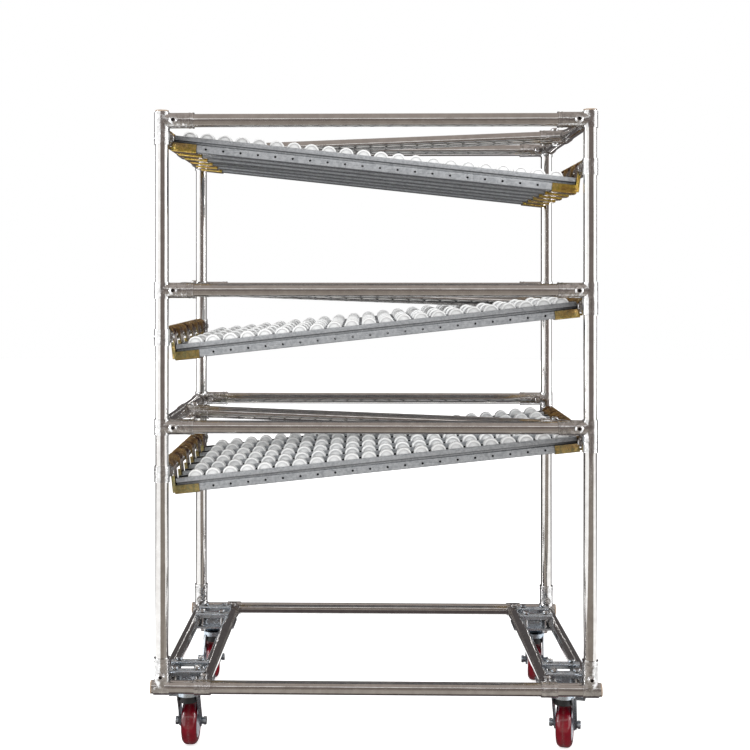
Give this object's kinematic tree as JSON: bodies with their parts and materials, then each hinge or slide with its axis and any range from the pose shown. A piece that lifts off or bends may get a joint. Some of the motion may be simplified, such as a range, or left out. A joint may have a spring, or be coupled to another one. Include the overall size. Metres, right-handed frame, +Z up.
{
  "type": "mobile gravity flow rack with roller tracks",
  "caption": "Mobile flow rack of steel pipe with sloping beds of roller tracks between four posts, on swivel casters, two with brakes.",
  "frame": {"origin": "on the floor under the centre of the rack", "axes": "+X along the tracks to the right, +Y across the lanes away from the near side, +Z up"},
  "size_m": [0.948, 0.643, 1.385],
  "materials": {
    "pipe": "polished, faint lengthwise grain",
    "joint": "bright nickel plate",
    "bolt": "bright zinc plate",
    "track": "satin galvanised sheet",
    "bracket": "yellow passivated zinc",
    "roller": "smooth white acetal",
    "caster": "bright blue zinc plate",
    "guard": "moulded black plastic",
    "tyre": "cast polyurethane",
    "cap": "amber moulded plastic"
  },
  "bodies": {
    "rack": {"posts": "pipe", "base_rails": "pipe", "base_cross_tubes": "pipe", "side_rails": "pipe", "bed_support_pipes": "pipe", "stop_rails": "pipe", "lane_dividers": "pipe", "pipe_caps": "cap", "rail_joints": "joint", "support_joints": "joint", "base_joints": "joint", "divider_joints": "joint", "joint_bolts": "bolt", "tracks_level_1": "track", "tracks_level_2": "track", "tracks_level_3": "track", "roller_axles": "bolt", "high_end_brackets": "bracket", "low_end_brackets": "bracket", "rollers_level_1": "roller", "rollers_level_2": "roller", "caster_plates": "caster", "saddle_clamps": "caster", "saddle_bolts": "bolt"},
    "roller_row_01": {"roller_row_01": "roller"},
    "roller_row_02": {"roller_row_02": "roller"},
    "roller_row_03": {"roller_row_03": "roller"},
    "roller_row_04": {"roller_row_04": "roller"},
    "roller_row_05": {"roller_row_05": "roller"},
    "roller_row_06": {"roller_row_06": "roller"},
    "roller_row_07": {"roller_row_07": "roller"},
    "roller_row_08": {"roller_row_08": "roller"},
    "roller_row_09": {"roller_row_09": "roller"},
    "roller_row_10": {"roller_row_10": "roller"},
    "roller_row_11": {"roller_row_11": "roller"},
    "roller_row_12": {"roller_row_12": "roller"},
    "roller_row_13": {"roller_row_13": "roller"},
    "roller_row_14": {"roller_row_14": "roller"},
    "roller_row_15": {"roller_row_15": "roller"},
    "roller_row_16": {"roller_row_16": "roller"},
    "roller_row_17": {"roller_row_17": "roller"},
    "roller_row_18": {"roller_row_18": "roller"},
    "roller_row_19": {"roller_row_19": "roller"},
    "roller_row_20": {"roller_row_20": "roller"},
    "roller_row_21": {"roller_row_21": "roller"},
    "roller_row_22": {"roller_row_22": "roller"},
    "fork_near_left": {"fork_near_left": "caster", "guard_near_left": "guard"},
    "wheel_near_left": {"wheel_near_left": "tyre"},
    "brake_pedal_near_left": {"brake_pedal_near_left": "caster"},
    "fork_near_right": {"fork_near_right": "caster", "guard_near_right": "guard"},
    "wheel_near_right": {"wheel_near_right": "tyre"},
    "brake_pedal_near_right": {"brake_pedal_near_right": "caster"},
    "fork_far_left": {"fork_far_left": "caster", "guard_far_left": "guard"},
    "wheel_far_left": {"wheel_far_left": "tyre"},
    "fork_far_right": {"fork_far_right": "caster", "guard_far_right": "guard"},
    "wheel_far_right": {"wheel_far_right": "tyre"}
  },
  "joints": [
    {"name": "roller_row_01_turn", "type": "hinge", "parent": "rack", "child": "roller_row_01", "pos_m": [0.39993, 0, 0.68563], "axis": [0, 1, 0], "continuous": true},
    {"name": "roller_row_02_turn", "type": "hinge", "parent": "rack", "child": "roller_row_02", "pos_m": [0.36242, 0, 0.68157], "axis": [0, 1, 0], "continuous": true},
    {"name": "roller_row_03_turn", "type": "hinge", "parent": "rack", "child": "roller_row_03", "pos_m": [0.32491, 0, 0.67751], "axis": [0, 1, 0], "continuous": true},
    {"name": "roller_row_04_turn", "type": "hinge", "parent": "rack", "child": "roller_row_04", "pos_m": [0.2874, 0, 0.67345], "axis": [0, 1, 0], "continuous": true},
    {"name": "roller_row_05_turn", "type": "hinge", "parent": "rack", "child": "roller_row_05", "pos_m": [0.2499, 0, 0.66939], "axis": [0, 1, 0], "continuous": true},
    {"name": "roller_row_06_turn", "type": "hinge", "parent": "rack", "child": "roller_row_06", "pos_m": [0.21239, 0, 0.66532], "axis": [0, 1, 0], "continuous": true},
    {"name": "roller_row_07_turn", "type": "hinge", "parent": "rack", "child": "roller_row_07", "pos_m": [0.17488, 0, 0.66126], "axis": [0, 1, 0], "continuous": true},
    {"name": "roller_row_08_turn", "type": "hinge", "parent": "rack", "child": "roller_row_08", "pos_m": [0.13737, 0, 0.6572], "axis": [0, 1, 0], "continuous": true},
    {"name": "roller_row_09_turn", "type": "hinge", "parent": "rack", "child": "roller_row_09", "pos_m": [0.09986, 0, 0.65314], "axis": [0, 1, 0], "continuous": true},
    {"name": "roller_row_10_turn", "type": "hinge", "parent": "rack", "child": "roller_row_10", "pos_m": [0.06236, 0, 0.64908], "axis": [0, 1, 0], "continuous": true},
    {"name": "roller_row_11_turn", "type": "hinge", "parent": "rack", "child": "roller_row_11", "pos_m": [0.02485, 0, 0.64502], "axis": [0, 1, 0], "continuous": true},
    {"name": "roller_row_12_turn", "type": "hinge", "parent": "rack", "child": "roller_row_12", "pos_m": [-0.01266, 0, 0.64096], "axis": [0, 1, 0], "continuous": true},
    {"name": "roller_row_13_turn", "type": "hinge", "parent": "rack", "child": "roller_row_13", "pos_m": [-0.05017, 0, 0.63689], "axis": [0, 1, 0], "continuous": true},
    {"name": "roller_row_14_turn", "type": "hinge", "parent": "rack", "child": "roller_row_14", "pos_m": [-0.08768, 0, 0.63283], "axis": [0, 1, 0], "continuous": true},
    {"name": "roller_row_15_turn", "type": "hinge", "parent": "rack", "child": "roller_row_15", "pos_m": [-0.12518, 0, 0.62877], "axis": [0, 1, 0], "continuous": true},
    {"name": "roller_row_16_turn", "type": "hinge", "parent": "rack", "child": "roller_row_16", "pos_m": [-0.16269, 0, 0.62471], "axis": [0, 1, 0], "continuous": true},
    {"name": "roller_row_17_turn", "type": "hinge", "parent": "rack", "child": "roller_row_17", "pos_m": [-0.2002, 0, 0.62065], "axis": [0, 1, 0], "continuous": true},
    {"name": "roller_row_18_turn", "type": "hinge", "parent": "rack", "child": "roller_row_18", "pos_m": [-0.23771, 0, 0.61659], "axis": [0, 1, 0], "continuous": true},
    {"name": "roller_row_19_turn", "type": "hinge", "parent": "rack", "child": "roller_row_19", "pos_m": [-0.27521, 0, 0.61252], "axis": [0, 1, 0], "continuous": true},
    {"name": "roller_row_20_turn", "type": "hinge", "parent": "rack", "child": "roller_row_20", "pos_m": [-0.31272, 0, 0.60846], "axis": [0, 1, 0], "continuous": true},
    {"name": "roller_row_21_turn", "type": "hinge", "parent": "rack", "child": "roller_row_21", "pos_m": [-0.35023, 0, 0.6044], "axis": [0, 1, 0], "continuous": true},
    {"name": "roller_row_22_turn", "type": "hinge", "parent": "rack", "child": "roller_row_22", "pos_m": [-0.38774, 0, 0.60034], "axis": [0, 1, 0], "continuous": true},
    {"name": "swivel_near_left", "type": "hinge", "parent": "rack", "child": "fork_near_left", "pos_m": [-0.407, -0.217, 0.129], "axis": [0, 0, 1], "continuous": true},
    {"name": "wheel_turn_near_left", "type": "hinge", "parent": "fork_near_left", "child": "wheel_near_left", "pos_m": [-0.407, -0.172, 0.05], "axis": [1, 0, 0], "continuous": true},
    {"name": "brake_near_left", "type": "hinge", "parent": "fork_near_left", "child": "brake_pedal_near_left", "pos_m": [-0.407, -0.172, 0.05], "axis": [1, 0, 0], "range_deg": [-15, 0]},
    {"name": "swivel_near_right", "type": "hinge", "parent": "rack", "child": "fork_near_right", "pos_m": [0.407, -0.217, 0.129], "axis": [0, 0, 1], "continuous": true},
    {"name": "wheel_turn_near_right", "type": "hinge", "parent": "fork_near_right", "child": "wheel_near_right", "pos_m": [0.41865, -0.17353, 0.05], "axis": [0.9659, -0.2588, 0], "continuous": true},
    {"name": "brake_near_right", "type": "hinge", "parent": "fork_near_right", "child": "brake_pedal_near_right", "pos_m": [0.41865, -0.17353, 0.05], "axis": [0.9659, -0.2588, 0], "range_deg": [-15, 0]},
    {"name": "swivel_far_left", "type": "hinge", "parent": "rack", "child": "fork_far_left", "pos_m": [-0.407, 0.217, 0.129], "axis": [0, 0, 1], "continuous": true},
    {"name": "wheel_turn_far_left", "type": "hinge", "parent": "fork_far_left", "child": "wheel_far_left", "pos_m": [-0.41865, 0.26047, 0.05], "axis": [0.9659, 0.2588, 0], "continuous": true},
    {"name": "swivel_far_right", "type": "hinge", "parent": "rack", "child": "fork_far_right", "pos_m": [0.407, 0.217, 0.129], "axis": [0, 0, 1], "continuous": true},
    {"name": "wheel_turn_far_right", "type": "hinge", "parent": "fork_far_right", "child": "wheel_far_right", "pos_m": [0.41481, 0.26132, 0.05], "axis": [0.9848, -0.1736, 0], "continuous": true}
  ]
}
